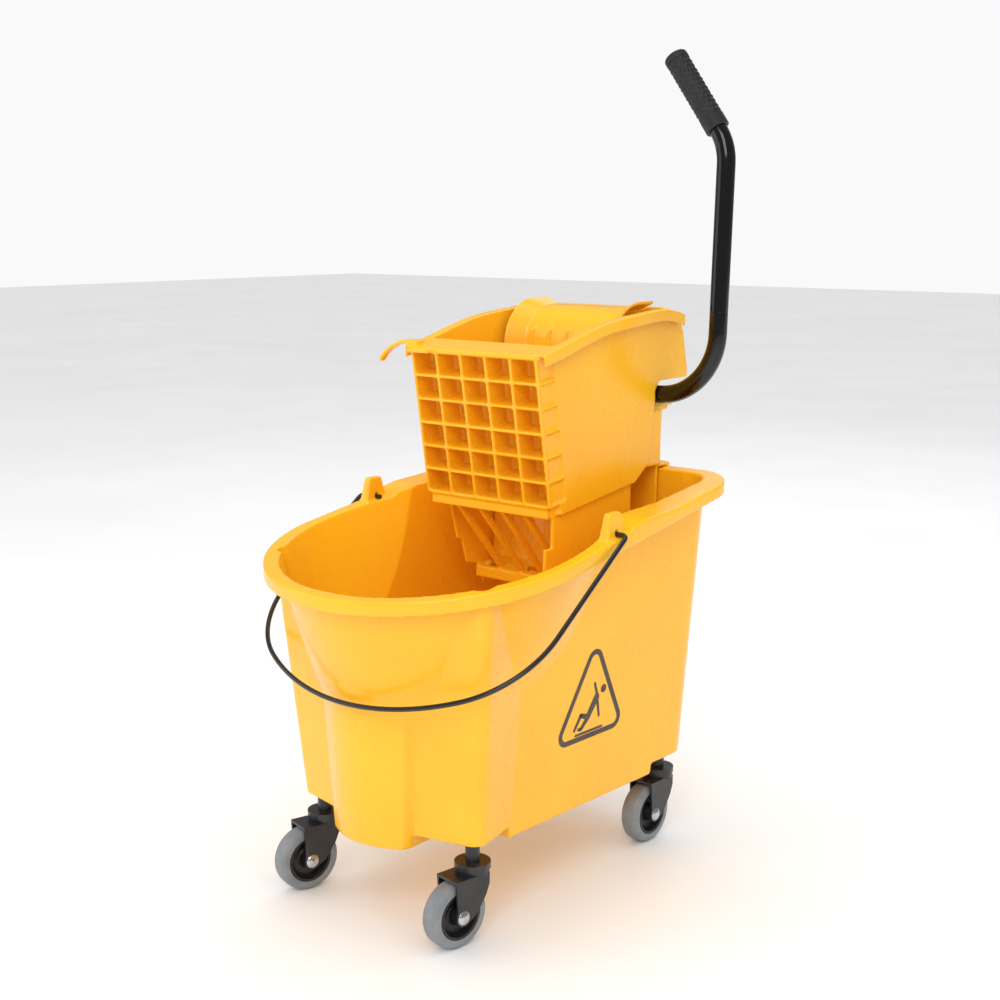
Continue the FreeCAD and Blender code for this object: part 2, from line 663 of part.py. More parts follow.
def grate():
    """Sloping drain ribs under the honeycomb and the bar that carries the plate's hinge."""
    top = (9.0, 443.0)
    low = (hinge_y - 14, hinge_z + 8)
    length = hypot(low[0] - top[0], low[1] - top[1])
    slope = degrees(atan2(low[1] - top[1], low[0] - top[0]))
    pieces = []
    for i in range(grate_ribs):
        x = (i - (grate_ribs - 1) / 2) * grate_pitch
        rib = box(x - grate_rib / 2, x + grate_rib / 2, 0, length, -4, 4)
        rib.rotate(V(0, 0, 0), X_AXIS, slope)
        rib.translate(V(0, top[0], top[1]))
        pieces.append(rib)
    reach = lower_half - 2
    pieces.append(box(-reach, reach, 5.0, 17.0, 438.0, 454.0))
    pieces.append(box(-reach, reach, hinge_y - 24, hinge_y - 12, hinge_z - 4, hinge_z + 10))
    centre_knuckle = 20.0
    tongue = box(-centre_knuckle, centre_knuckle, hinge_y - 16, hinge_y, hinge_z - 4, hinge_z + 4)
    pieces += [tongue, rod(knuckle_radius, -centre_knuckle, centre_knuckle, hinge_y, hinge_z)]
    return pieces


def arc_strip(low, mid, high, thick, y0, width):
    """Curved bar in the XZ plane through three (x, z) points, thick upwards, between two Y positions."""
    under = Part.Arc(V(low[0], y0, low[1]), V(mid[0], y0, mid[1]), V(high[0], y0, high[1]))
    over = Part.Arc(V(low[0] - thick / 2, y0, low[1] + thick), V(mid[0], y0, mid[1] + thick),
                    V(high[0], y0, high[1] + thick))
    wire = Part.Wire([under.toShape(), Part.LineSegment(under.EndPoint, over.EndPoint).toShape(), over.toShape(),
                      Part.LineSegment(over.StartPoint, under.StartPoint).toShape()])
    return Part.Face(wire).extrude(V(0, width, 0))


def rest_hook():
    """Curved finger at the front left of the hopper's rim, where a mop handle rests."""
    finger = arc_strip((-147.0, 606.0), (-124.0, 625.0), (-honey_half, 630.0), 5.0, honey_top_y + 5, 9.0)
    foot = box(-honey_half - 1, -honey_half + 10, honey_top_y + 2, honey_top_y + 16, honey_top_z - 4, honey_top_z + 11)
    return [finger, foot]


def front_flange():
    """Sloping top edge of the front wall, with a short forward step at the left."""
    slope = [(honey_top_y - 1, honey_top_z - 2), (honey_top_y - 1, honey_top_z + 3), (14.0, 635.5), (14.0, 631.5)]
    step = [(honey_top_y - 7, honey_top_z - 3), (honey_top_y - 7, honey_top_z + 1.5),
            (honey_top_y + 2, honey_top_z + 3.5), (honey_top_y + 2, honey_top_z - 3)]
    return [yz_plate(slope, -honey_half, honey_half), yz_plate(step, -honey_half, -60.0)]


def wringer_housing():
    """One-piece moulded wringer body."""
    right = side_wall()
    pieces = [honeycomb()] + right + [mirror_x(piece) for piece in right]
    pieces.append(lower_wall(1, [(13.0, 450.0), (13.0, 404.0), (0.0, 404.0), (-2.0, 378.0), (62.0, 344.0),
                                 (92.0, 322.0)]))
    pieces.append(lower_wall(-1, [(34.0, 452.0), (50.0, 386.0), (59.0, 382.0), (68.0, 352.0), (91.0, 347.0),
                                  (100.0, 322.0)]))
    pieces += rear_frame() + hood() + grate() + rest_hook() + front_flange()
    body = fuse(pieces)
    bush_outer = tube_radius + 3.0
    for x0 in (bearing_x, -bearing_x - bearing_thick):
        body = body.cut(rod(bush_outer, x0 - 3, x0 + bearing_thick + 3, shaft_y, shaft_z))
    body = body.cut(rod(tube_radius + 1.2, -hopper_half - 1, hopper_half + 1, shaft_y, shaft_z))
    return body.cut(rod(hinge_pin_radius, -lower_half - 1, lower_half + 1, hinge_y, hinge_z))


save("wringer_housing", wringer_housing())
save("plate_hinge_pin", rod(hinge_pin_radius, -lower_half - 2, lower_half + 2, hinge_y, hinge_z))


def shaft_bush(side):
    """Flanged plastic bush that the lever's shaft turns in."""
    inner, outer, flange = tube_radius + run_gap, tube_radius + 3.0, tube_radius + 6.0
    sleeve = rod(outer, bearing_x, bearing_x + bearing_thick, shaft_y, shaft_z)
    collar = rod(flange, bearing_x - 2, bearing_x, shaft_y, shaft_z)
    bush = sleeve.fuse(collar).cut(rod(inner, bearing_x - 3, bearing_x + bearing_thick + 1, shaft_y, shaft_z))
    return bush if side > 0 else mirror_x(bush)


save("shaft_bush_right", shaft_bush(1))
save("shaft_bush_left", shaft_bush(-1))


# ---------------------------------------------------------------- press plate
lean = radians(plate_lean)


def plate_wire(x, forward):
    """Closed section of the press plate at x, with its face moved forward."""
    radius = plate_top_radius + forward / 2
    up = (sin(lean), cos(lean))
    back = (cos(lean), -sin(lean))
    foot = (hinge_y + 2, hinge_z + 12)
    bend_y = hinge_y + 2 + (plate_bend_z - hinge_z) * tan(lean) - forward
    bend = (bend_y, plate_bend_z)
    centre = (bend[0] + back[0] * radius, bend[1] + back[1] * radius)
    sweep = radians(90 + plate_lean) / 2
    front_mid = (centre[0] - radius * cos(sweep - lean), centre[1] + radius * sin(sweep - lean))
    inner = radius - plate_sheet
    back_mid = (centre[0] - inner * cos(sweep - lean), centre[1] + inner * sin(sweep - lean))
    top_front, top_back = (centre[0], centre[1] + radius), (centre[0], centre[1] + inner)
    low_back = (foot[0] + plate_sheet, foot[1])
    bend_back = (bend[0] + back[0] * plate_sheet, bend[1] + back[1] * plate_sheet)

    def at(p):
        return V(x, p[0], p[1])

    end_high, end_low = (plate_rear_y, top_front[1]), (plate_rear_y, top_back[1])
    return Part.Wire([
        Part.LineSegment(at(foot), at(bend)).toShape(),
        Part.Arc(at(bend), at(front_mid), at(top_front)).toShape(),
        Part.LineSegment(at(top_front), at(end_high)).toShape(),
        Part.LineSegment(at(end_high), at(end_low)).toShape(),
        Part.LineSegment(at(end_low), at(top_back)).toShape(),
        Part.Arc(at(top_back), at(back_mid), at(bend_back)).toShape(),
        Part.LineSegment(at(bend_back), at(low_back)).toShape(),
        Part.LineSegment(at(low_back), at(foot)).toShape()])


def pad_path(angle):
    """Centre of the cam pads, seen from the press plate, when the lever has turned by angle."""
    turn = radians(arm_rest - angle)
    y = shaft_y + arm_length * cos(turn) - hinge_y
    z = shaft_z + arm_length * sin(turn) - hinge_z
    swing = radians(press_angle * angle / lever_angle)
    return (hinge_y + y * cos(swing) + z * sin(swing), hinge_z - y * sin(swing) + z * cos(swing))


def cam_rib(x0, x1):
    """Rib on the plate's back whose edge the cam pad follows over the whole stroke."""
    steps = 8
    reach = pad_radius + free_gap
    edge = []
    for i in range(steps + 1):
        angle = lever_angle * i / steps
        here, ahead = pad_path(angle), pad_path(angle + 0.5)
        length = hypot(ahead[0] - here[0], ahead[1] - here[1])
        u = ((ahead[0] - here[0]) / length, (ahead[1] - here[1]) / length)
        edge.append((here[0] - u[1] * reach, here[1] + u[0] * reach))
    curve = Part.BSplineCurve()
    curve.interpolate([V(x0, y, z) for y, z in edge])
    lean_y = hinge_y + 2 + plate_sheet / 2
    first, last = edge[0], edge[-1]
    low = (lean_y + (430.0 - hinge_z) * tan(lean), 430.0)
    high = (lean_y + (590.0 - hinge_z) * tan(lean), 590.0)
    under = (first[0] - 12, first[1] - 16)
    over = (last[0] - 26, last[1] + 14)
    corners = [last, over, high, low, under, first]
    edges = [curve.toShape()]
    for a, b in zip(corners, corners[1:]):
        edges.append(Part.LineSegment(V(x0, *a), V(x0, *b)).toShape())
    return Part.Face(Part.Wire(edges)).extrude(V(x1 - x0, 0, 0))


def press_plate():
    """Moving jaw: scooped face, ribs, rear stiffeners, cam ribs and hinge knuckles."""
    middle = Part.Face(plate_wire(-plate_face_half, 0)).extrude(V(2 * plate_face_half, 0, 0))
    flange = Part.makeLoft([plate_wire(plate_face_half, 0), plate_wire(plate_half, plate_flange)], True, True)
    pieces = [middle, flange, mirror_x(flange)]
    for i in range(5):
        x = (i - 2) * 26.0
        low_y = hinge_y + 2 + 40 * tan(lean)
        high_y = hinge_y + 2 + (plate_bend_z + 12 - hinge_z) * tan(lean)
        rib = [(low_y - 3, hinge_z + 40), (high_y - 4, plate_bend_z + 12), (high_y + 3, plate_bend_z + 16),
               (low_y + 2, hinge_z + 40)]
        pieces.append(yz_plate(rib, x - 2, x + 2))
    rib_x = arm_x - 4
    cam = cam_rib(rib_x - 7, rib_x)
    pieces += [cam, mirror_x(cam)]
    for x0, x1 in ((24.0, 70.0), (-70.0, -24.0)):
        pieces.append(rod(knuckle_radius, x0, x1, hinge_y, hinge_z))
        pieces.append(box(x0, x1, hinge_y + 1, hinge_y + 7, hinge_z, hinge_z + 24))
    body = fuse(pieces)
    relief = rod(knuckle_radius + side_gap, -21.5, 21.5, hinge_y, hinge_z)
    body = body.cut(relief)
    return body.cut(rod(hinge_pin_radius + run_gap, -lower_half, lower_half, hinge_y, hinge_z))


save("press_plate", press_plate())


# ---------------------------------------------------------------- lever
shaft_centre = V(0, shaft_y, shaft_z)
bend_x = shaft_right + lever_bend


def leaned(shape):
    """Turn a lever piece back to its rest position."""
    return turned(shape, shaft_centre, X_AXIS, -lever_lean)


def at_shaft(x, z):
    """Point in the lever's own plane."""
    return V(x, shaft_y, z)


def lever_lower():
    """Cross shaft and lower lever in one bent tube, with a spigot for the upper tube."""
    mid = lever_bend * sqrt(0.5)
    bend = Part.Arc(at_shaft(shaft_right, shaft_z), at_shaft(shaft_right + mid, shaft_z + lever_bend - mid),
                    at_shaft(bend_x, shaft_z + lever_bend)).toShape()
    edges = [Part.LineSegment(at_shaft(-shaft_left, shaft_z), at_shaft(shaft_right, shaft_z)).toShape(), bend,
             Part.LineSegment(at_shaft(bend_x, shaft_z + lever_bend), at_shaft(bend_x, lever_seam_z)).toShape()]
    tube = tube_along(edges, tube_radius, tube_radius - tube_wall)
    spigot_radius = tube_radius - tube_wall
    spigot_base = at_shaft(bend_x, lever_seam_z - 15)
    spigot = Part.makeCylinder(spigot_radius, 70, spigot_base)
    spigot = spigot.cut(Part.makeCylinder(spigot_radius - tube_wall, 80, spigot_base - V(0, 0, 5)))
    return leaned(tube.fuse(spigot))


def lever_top(angle, extra):
    """Point at an angle round the top bend, then extra millimetres along the grip."""
    turn = radians(angle)
    x = bend_x - lever_top_bend * (1 - cos(turn)) - extra * sin(turn)
    z = lever_straight_top + lever_top_bend * sin(turn) + extra * cos(turn)
    return at_shaft(x, z)


def lever_upper():
    """Upper lever tube, bent inwards under the grip."""
    edges = [
        Part.LineSegment(at_shaft(bend_x, lever_seam_z), at_shaft(bend_x, lever_straight_top)).toShape(),
        Part.Arc(lever_top(0, 0), lever_top(lever_top_turn / 2, 0), lever_top(lever_top_turn, 0)).toShape(),
        Part.LineSegment(lever_top(lever_top_turn, 0), lever_top(lever_top_turn, grip_length - 6)).toShape()]
    return leaned(tube_along(edges, tube_radius, tube_radius - tube_wall))


def lever_grip():
    """Closed-end rubber sleeve on the lever."""
    base = lever_top(lever_top_turn, 0)
    along = lever_top(lever_top_turn, 1) - base
    sleeve = Part.makeCylinder(grip_radius, grip_length, base, along)
    sleeve = sleeve.makeFillet(3.0, [sleeve.Edges[0], sleeve.Edges[2]])
    return leaned(sleeve.cut(Part.makeCylinder(tube_radius, grip_length - 6, base, along)))


def cam_arm(side):
    """Arm clamped on the cross shaft that carries a cam pad."""
    turn = radians(arm_rest)
    tip = V(0, shaft_y + arm_length * cos(turn), shaft_z + arm_length * sin(turn))
    hub = rod(tube_radius + arm_hub_wall, arm_x, arm_x + arm_thick, shaft_y, shaft_z)
    end = rod(pad_radius - 1, arm_x, arm_x + arm_thick, tip.y, tip.z)
    web = box(arm_x, arm_x + arm_thick, shaft_y, shaft_y + arm_length, shaft_z - 7, shaft_z + 7)
    web.rotate(V(0, shaft_y, shaft_z), X_AXIS, arm_rest)
    arm = fuse([hub, web, end]).cut(rod(tube_radius, arm_x - 1, arm_x + arm_thick + 1, shaft_y, shaft_z))
    arm = arm.cut(rod(4.0, arm_x - 1, arm_x + arm_thick + 1, tip.y, tip.z))
    pad = rod(pad_radius, arm_x - 12, arm_x, tip.y, tip.z)
    pin = rod(4.0, arm_x - 1, arm_x + arm_thick, tip.y, tip.z)
    pad = pad.fuse(pin)
    if side < 0:
        return mirror_x(arm), mirror_x(pad)
    return arm, pad


save("lever_tube_lower", lever_lower())
save("lever_tube_upper", lever_upper())
save("lever_grip", lever_grip())
for side_name, side in (("right", 1), ("left", -1)):
    arm_piece, pad_piece = cam_arm(side)
    save("cam_arm_" + side_name, arm_piece)
    save("cam_pad_" + side_name, pad_piece)
snap_centre = at_shaft(bend_x, lever_seam_z + 26)
snap_radius = 3.0
snap_hole = leaned(Part.makeCylinder(snap_radius + run_gap, tube_radius + 5, snap_centre, Y_AXIS))
nodes["lever_tube_lower"] = nodes["lever_tube_lower"].cut(snap_hole)
nodes["lever_tube_upper"] = nodes["lever_tube_upper"].cut(snap_hole)
snap_stem = Part.makeCylinder(snap_radius, tube_radius - 4, snap_centre + V(0, 5, 0), Y_AXIS)
snap_dome = Part.makeSphere(snap_radius, snap_centre + V(0, tube_radius + 1, 0))
save("snap_button", leaned(snap_stem.fuse(snap_dome)))
save("shaft_end_cap", rod(tube_radius + 1, -shaft_left - 3, -shaft_left, shaft_y, shaft_z))


def return_spring():
    """Torsion spring round the cross shaft: a long tail towards the hood's rear wall, a short one forward."""
    coil_radius = tube_radius + spring_wire + 2
    half = spring_pitch * spring_turns / 2
    helix = Part.makeHelix(spring_pitch, 2 * half, coil_radius)
    first = helix.Edges[0]
    start = first.valueAt(first.FirstParameter)
    direction = first.tangentAt(first.FirstParameter)
    profile = Part.Wire([Part.makeCircle(spring_wire, start, direction)])
    coil = Part.Wire(helix.Edges).makePipeShell([profile], True, True)
    tail_wire = spring_wire - 0.1
    bend_y = 4.0
    tail_rise = radians(14)
    long_reach = (hood_rear_y - 7 - shaft_y - bend_y) / cos(tail_rise)
    stub = Part.makeCylinder(tail_wire, bend_y + 1, V(coil_radius, -1, 2 * half), Y_AXIS)
    elbow = Part.makeSphere(tail_wire, V(coil_radius, bend_y, 2 * half))
    rising = Part.makeCylinder(tail_wire, long_reach, V(coil_radius, bend_y, 2 * half),
                               V(sin(tail_rise), cos(tail_rise), 0))
    long_tail = stub.multiFuse([elbow, rising])
    short_tail = Part.makeCylinder(tail_wire, 14, V(coil_radius, 1, 0), V(0, -1, 0))
    spring = fuse([coil, long_tail, short_tail])
    spring.rotate(V(0, 0, 0), Y_AXIS, -90)
    spring.translate(V(half, shaft_y, shaft_z))
    return spring


save("return_spring", return_spring())


def arm_pin(side):
    """Roll pin through a cam arm's hub and the cross shaft."""
    reach = tube_radius + arm_hub_wall + 1
    x = side * (arm_x + arm_thick / 2)
    pin = Part.makeCylinder(arm_pin_radius, 2 * reach, V(x, shaft_y, shaft_z - reach), Z_AXIS)
    return turned(pin, shaft_centre, X_AXIS, arm_rest)


for side_name, side in (("right", 1), ("left", -1)):
    nodes["cam_arm_" + side_name] = nodes["cam_arm_" + side_name].cut(arm_pin(side))
    nodes["lever_tube_lower"] = nodes["lever_tube_lower"].cut(arm_pin(side))
save("arm_pins", Part.makeCompound([arm_pin(1), arm_pin(-1)]))


# ---------------------------------------------------------------- seat and export
on_bucket = ("bucket_body", "bail", "caster_")
seat_move = V(0, rim_rear_y - seat_y, rim_z(rim_rear_y) - seat_z)
for node_name, node_shape in nodes.items():
    if not node_name.startswith(on_bucket):
        node_shape.translate(seat_move)
os.makedirs("parts", exist_ok=True)
for node_name, node_shape in nodes.items():
    node_shape.exportStep("parts/" + node_name + ".step")
    print(node_name, len(node_shape.Solids), round(node_shape.Volume), node_shape.isValid())
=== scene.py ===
"""Looks of a mop bucket with a side-press wringer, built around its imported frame.

Lengths in the classes below are millimetres, apart from the studio's, which are metres.
Meshes are metres, in the frame's own axes.
"""

import json
import logging
import math
from dataclasses import dataclass
from enum import Enum
from typing import Optional, Sequence

import bmesh
import bpy
from mathutils import Matrix, Vector
from mathutils.bvhtree import BVHTree
from mathutils.kdtree import KDTree


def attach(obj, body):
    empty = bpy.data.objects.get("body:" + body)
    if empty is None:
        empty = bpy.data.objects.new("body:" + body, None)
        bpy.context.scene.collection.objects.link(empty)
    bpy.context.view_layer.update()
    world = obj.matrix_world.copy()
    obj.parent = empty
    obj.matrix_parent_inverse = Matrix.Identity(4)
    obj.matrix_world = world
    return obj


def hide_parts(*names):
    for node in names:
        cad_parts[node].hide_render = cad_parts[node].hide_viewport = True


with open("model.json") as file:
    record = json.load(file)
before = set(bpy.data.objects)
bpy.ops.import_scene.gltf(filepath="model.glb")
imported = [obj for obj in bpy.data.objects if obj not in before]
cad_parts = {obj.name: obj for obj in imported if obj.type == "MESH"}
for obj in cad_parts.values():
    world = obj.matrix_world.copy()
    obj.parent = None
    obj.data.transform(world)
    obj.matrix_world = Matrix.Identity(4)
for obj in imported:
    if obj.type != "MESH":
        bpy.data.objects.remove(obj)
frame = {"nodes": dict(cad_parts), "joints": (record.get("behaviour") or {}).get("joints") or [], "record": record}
log = logging.getLogger("mop_bucket")
MM = 0.001
WELD_MM = 0.02
CREASE_DEG = 28.0
SCATTER_M = 0.004
Point2 = tuple[float, float]


# ---------------------------------------------------------------- colour and nodes
def srgb(code: str) -> tuple[float, float, float, float]:
    """Turn a hex colour into linear light.

    Args:
        code: Colour such as "#FBBE3B".

    Returns:
        Linear red, green, blue and an alpha of one.
    """
    channels = []
    for start in (1, 3, 5):
        value = int(code[start:start + 2], 16) / 255
        channels.append(value / 12.92 if value <= 0.04045 else ((value + 0.055) / 1.055) ** 2.4)
    return (channels[0], channels[1], channels[2], 1.0)


def add_node(tree: bpy.types.NodeTree, kind: str, inputs: Optional[dict] = None,
             **settings: object) -> bpy.types.Node:
    """Add one node with its settings and links.

    Args:
        tree: Node tree that takes the node.
        kind: Blender's name for the node's type.
        inputs: Socket name or number to a value, or to the output that it is linked from.
        settings: Node properties by name.

    Returns:
        The new node.
    """
    node = tree.nodes.new(kind)
    for name, value in settings.items():
        setattr(node, name, value)
    for name, value in (inputs or {}).items():
        if isinstance(value, bpy.types.NodeSocket):
            tree.links.new(value, node.inputs[name])
        else:
            node.inputs[name].default_value = value
    return node


@dataclass(frozen=True)
class Finish:
    """A surface: what it is made of, how it was made, and what that gives the eye."""

    name: str
    colour: str
    shade: str
    roughness: float
    roughness_spread: float
    ior: float = 1.5
    metallic: float = 0.0
    coat: float = 0.0
    coat_roughness: float = 0.05
    subsurface: float = 0.0
    cloud_mm: float = 60.0
    grain_mm: float = 1.5
    grain_depth_mm: float = 0.01
    wear: str = ""

    def material(self) -> bpy.types.Material:
        """Build the material once and return it.

        Returns:
            The node material of this finish.
        """
        known = bpy.data.materials.get(self.name)
        if known:
            return known
        material = bpy.data.materials.new(self.name)
        material.use_nodes = True
        tree = material.node_tree
        tree.nodes.clear()
        place = add_node(tree, "ShaderNodeTexCoord").outputs["Object"]
        shader = add_node(tree, "ShaderNodeBsdfPrincipled", {
            "Metallic": self.metallic, "IOR": self.ior, "Coat Weight": self.coat,
            "Coat Roughness": self.coat_roughness, "Subsurface Weight": self.subsurface,
            "Subsurface Scale": SCATTER_M})
        tree.links.new(self.colours(tree, place), shader.inputs["Base Color"])
        tree.links.new(self.roughnesses(tree, place), shader.inputs["Roughness"])
        tree.links.new(self.relief(tree, place), shader.inputs["Normal"])
        add_node(tree, "ShaderNodeOutputMaterial", {"Surface": shader.outputs[0]})
        return material

    def noise(self, tree: bpy.types.NodeTree, place: bpy.types.NodeSocket, size_mm: float,
              detail: float) -> bpy.types.NodeSocket:
        """Noise whose patches measure a real size.

        Args:
            tree: The material's node tree.
            place: Position that the pattern is read at.
            size_mm: Size of its patches.
            detail: Octaves of finer noise on top.

        Returns:
            The noise, from nought to one.
        """
        return add_node(tree, "ShaderNodeTexNoise", {"Vector": place, "Scale": 1 / (size_mm * MM),
                                                     "Detail": detail}).outputs["Fac"]

    def colours(self, tree: bpy.types.NodeTree, place: bpy.types.NodeSocket) -> bpy.types.NodeSocket:
        """Slow clouds between the two colours, and rubbed edges where the finish wears.

        Args:
            tree: The material's node tree.
            place: Position that the pattern is read at.

        Returns:
            The base colour.
        """
        cloud = add_node(tree, "ShaderNodeMapRange", {
            "Value": self.noise(tree, place, self.cloud_mm, 3.0), "From Min": 0.35, "From Max": 0.65})
        mix = add_node(tree, "ShaderNodeMix", {
            0: cloud.outputs[0], 6: srgb(self.shade), 7: srgb(self.colour)}, data_type="RGBA")
        if not self.wear:
            return mix.outputs[2]
        ridge = add_node(tree, "ShaderNodeMapRange", {
            "Value": add_node(tree, "ShaderNodeNewGeometry").outputs["Pointiness"],
            "From Min": 0.53, "From Max": 0.62, "To Max": 0.35})
        worn = add_node(tree, "ShaderNodeMix", {0: ridge.outputs[0], 6: mix.outputs[2], 7: srgb(self.wear)},
                        data_type="RGBA")
        return worn.outputs[2]

    def roughnesses(self, tree: bpy.types.NodeTree, place: bpy.types.NodeSocket) -> bpy.types.NodeSocket:
        """Patches of slightly duller and glossier skin from handling.

        Args:
            tree: The material's node tree.
            place: Position that the pattern is read at.

        Returns:
            The roughness.
        """
        patch = self.noise(tree, place, self.cloud_mm / 3, 5.0)
        return add_node(tree, "ShaderNodeMapRange", {
            "Value": patch, "From Min": 0.3, "From Max": 0.7,
            "To Min": self.roughness - self.roughness_spread,
            "To Max": self.roughness + self.roughness_spread}).outputs[0]

    def relief(self, tree: bpy.types.NodeTree, place: bpy.types.NodeSocket) -> bpy.types.NodeSocket:
        """The skin's fine grain.

        Args:
            tree: The material's node tree.
            place: Position that the pattern is read at.

        Returns:
            The bumped normal.
        """
        grain = self.noise(tree, place, self.grain_mm, 2.0)
        return add_node(tree, "ShaderNodeBump", {"Height": grain, "Strength": 1.0,
                                                 "Distance": self.grain_depth_mm * MM}).outputs[0]


# Injection-moulded polypropylene: a clean gloss over a fine grain, a trace of light inside the wall.
MOULDED_POLYPROPYLENE = Finish("moulded_polypropylene", "#FFBE1E", "#FDB818", 0.27, 0.05, ior=1.49, coat=0.15,
                               coat_roughness=0.15, subsurface=0.04, cloud_mm=120.0, grain_mm=1.2,
                               grain_depth_mm=0.004)
# Steel tube in stove enamel: deep black with sharp reflections.
STOVED_ENAMEL = Finish("stoved_black_enamel", "#030304", "#050506", 0.12, 0.04, ior=1.45, coat=0.2,
                       coat_roughness=0.03, cloud_mm=70.0, grain_mm=6.0, grain_depth_mm=0.006)
# Steel wire in powder coat: black, with a soft sheen over orange peel.
POWDER_COAT = Finish("black_powder_coat", "#0E0E10", "#151518", 0.3, 0.06, coat=0.4, coat_roughness=0.15,
                     cloud_mm=30.0, grain_mm=0.9, grain_depth_mm=0.012, wear="#3A3A3D")
# Stamped steel in black dip coat: satin, greyer on its pressed edges.
DIPPED_STEEL = Finish("black_dipped_steel", "#1B1B1E", "#242428", 0.38, 0.08, coat=0.25, coat_roughness=0.25,
                      cloud_mm=18.0, grain_mm=0.7, grain_depth_mm=0.014, wear="#55555A")
# Injection-moulded black nylon: the wheel's centre, an even satin black.
MOULDED_NYLON = Finish("moulded_black_nylon", "#141416", "#1B1B1D", 0.42, 0.06, ior=1.53, cloud_mm=20.0,
                       grain_mm=0.6, grain_depth_mm=0.01)
# Cast thermoplastic rubber: the tread, mid grey and matt with a faint bloom.
TREAD_RUBBER = Finish("cast_grey_tread_rubber", "#85898C", "#777B7F", 0.5, 0.07, ior=1.52, cloud_mm=24.0,
                      grain_mm=0.8, grain_depth_mm=0.012, wear="#9DA1A4")
# Bright zinc plate: fine crystals over turned steel.
ZINC_PLATE = Finish("bright_zinc_plate", "#D4D5D6", "#BFC1C3", 0.26, 0.07, metallic=1.0, cloud_mm=7.0,
                    grain_mm=0.5, grain_depth_mm=0.01)
# Moulded synthetic rubber: the grip, black with a dry sheen.
GRIP_RUBBER = Finish("moulded_grip_rubber", "#161617", "#1E1E20", 0.55, 0.08, ior=1.52, cloud_mm=18.0,
                     grain_mm=0.5, grain_depth_mm=0.02, wear="#3B3B3E")
# Undyed nylon: bushes and cam pads, milky and waxy.
NATURAL_NYLON = Finish("natural_nylon", "#E7E3D6", "#DDD8C8", 0.4, 0.05, ior=1.53, subsurface=0.15,
                       cloud_mm=15.0, grain_mm=0.6, grain_depth_mm=0.008)
# Screen-printed ink: a thin matt film of warm dark grey.
PRINTED_INK = Finish("screen_printed_ink", "#463C38", "#52473F", 0.55, 0.06, cloud_mm=20.0, grain_mm=0.4,
                     grain_depth_mm=0.01)
# Drawn spring wire: grey steel under a film of oil.
SPRING_STEEL = Finish("drawn_spring_steel", "#8C8D90", "#77787B", 0.3, 0.08, metallic=1.0, cloud_mm=6.0,
                      grain_mm=0.4, grain_depth_mm=0.008)


class Corner(Enum):
    """The four casters, by their place under the bucket."""

    FRONT_RIGHT = "front_right"
    FRONT_LEFT = "front_left"
    REAR_RIGHT = "rear_right"
    REAR_LEFT = "rear_left"


# ---------------------------------------------------------------- mesh work
def new_piece(name: str, mesh: bpy.types.Mesh, finish: Finish) -> bpy.types.Object:
    """Link a mesh as a dressed piece.

    Args:
        name: Name of the piece.
        mesh: Its finished mesh.
        finish: Its surface.

    Returns:
        The new object.
    """
    mesh.materials.clear()
    mesh.materials.append(finish.material())
    piece = bpy.data.objects.new(name, mesh)
    bpy.context.scene.collection.objects.link(piece)
    return piece


def dress(node: str, finish: Finish) -> None:
    """Give a carried-over frame node its finish.

    Args:
        node: Frame node that stays in sight.
        finish: Its surface.
    """
    for entry in frame["nodes"][node].material_slots:
        entry.material = finish.material()
    log.info("%s keeps its frame mesh in %s", node, finish.name)


def apply_modifiers(piece: bpy.types.Object) -> None:
    """Turn a piece's modifiers into its mesh.

    Args:
        piece: Object whose modifiers are used up.
    """
    graph = bpy.context.evaluated_depsgraph_get()
    mesh = bpy.data.meshes.new_from_object(piece.evaluated_get(graph))
    piece.modifiers.clear()
    piece.data = mesh


def smooth_by_angle(mesh: bpy.types.Mesh, degrees: float) -> None:
    """Shade a mesh smooth, with edges sharper than an angle kept crisp.

    Args:
        mesh: Mesh, changed in place.
        degrees: Angle from which an edge stays crisp.
    """
    mesh.shade_smooth()
    mesh.set_sharp_from_angle(angle=math.radians(degrees))


def soften(node: str, name: str, finish: Finish, radius_mm: float) -> bpy.types.Object:
    """Copy a frame node with its edges rounded, and let the copy stand for it.

    Args:
        node: Frame node to copy and replace.
        name: Name of the new piece.
        finish: Its surface.
        radius_mm: Radius of its edges.

    Returns:
        The new piece, riding on the node's body.
    """
    source = frame["nodes"][node]
    mesh = source.data.copy()
    shape = bmesh.new()
    shape.from_mesh(mesh)
    bmesh.ops.remove_doubles(shape, verts=shape.verts, dist=WELD_MM * MM)
    weights = shape.edges.layers.float.new("bevel_weight_edge")
    for edge in crisp_edges(shape):
        edge[weights] = 1.0
    shape.to_mesh(mesh)
    shape.free()
    piece = new_piece(name, mesh, finish)
    bevel = piece.modifiers.new("round", "BEVEL")
    bevel.limit_method = "WEIGHT"
    bevel.width = radius_mm * MM
    bevel.segments = 2
    bevel.use_clamp_overlap = True
    apply_modifiers(piece)
    smooth_by_angle(piece.data, 35)
    weighted = piece.modifiers.new("weighted", "WEIGHTED_NORMAL")
    weighted.keep_sharp = True
    apply_modifiers(piece)
    stand_for(piece, node)
    return piece


def crisp_edges(shape: bmesh.types.BMesh) -> list[bmesh.types.BMEdge]:
    """Edges where two faces meet at more than the crease angle.

    Args:
        shape: Welded mesh.

    Returns:
        Its crisp edges.
    """
    crease = math.radians(CREASE_DEG)
    return [edge for edge in shape.edges if len(edge.link_faces) == 2 and edge.calc_face_angle(0.0) > crease]


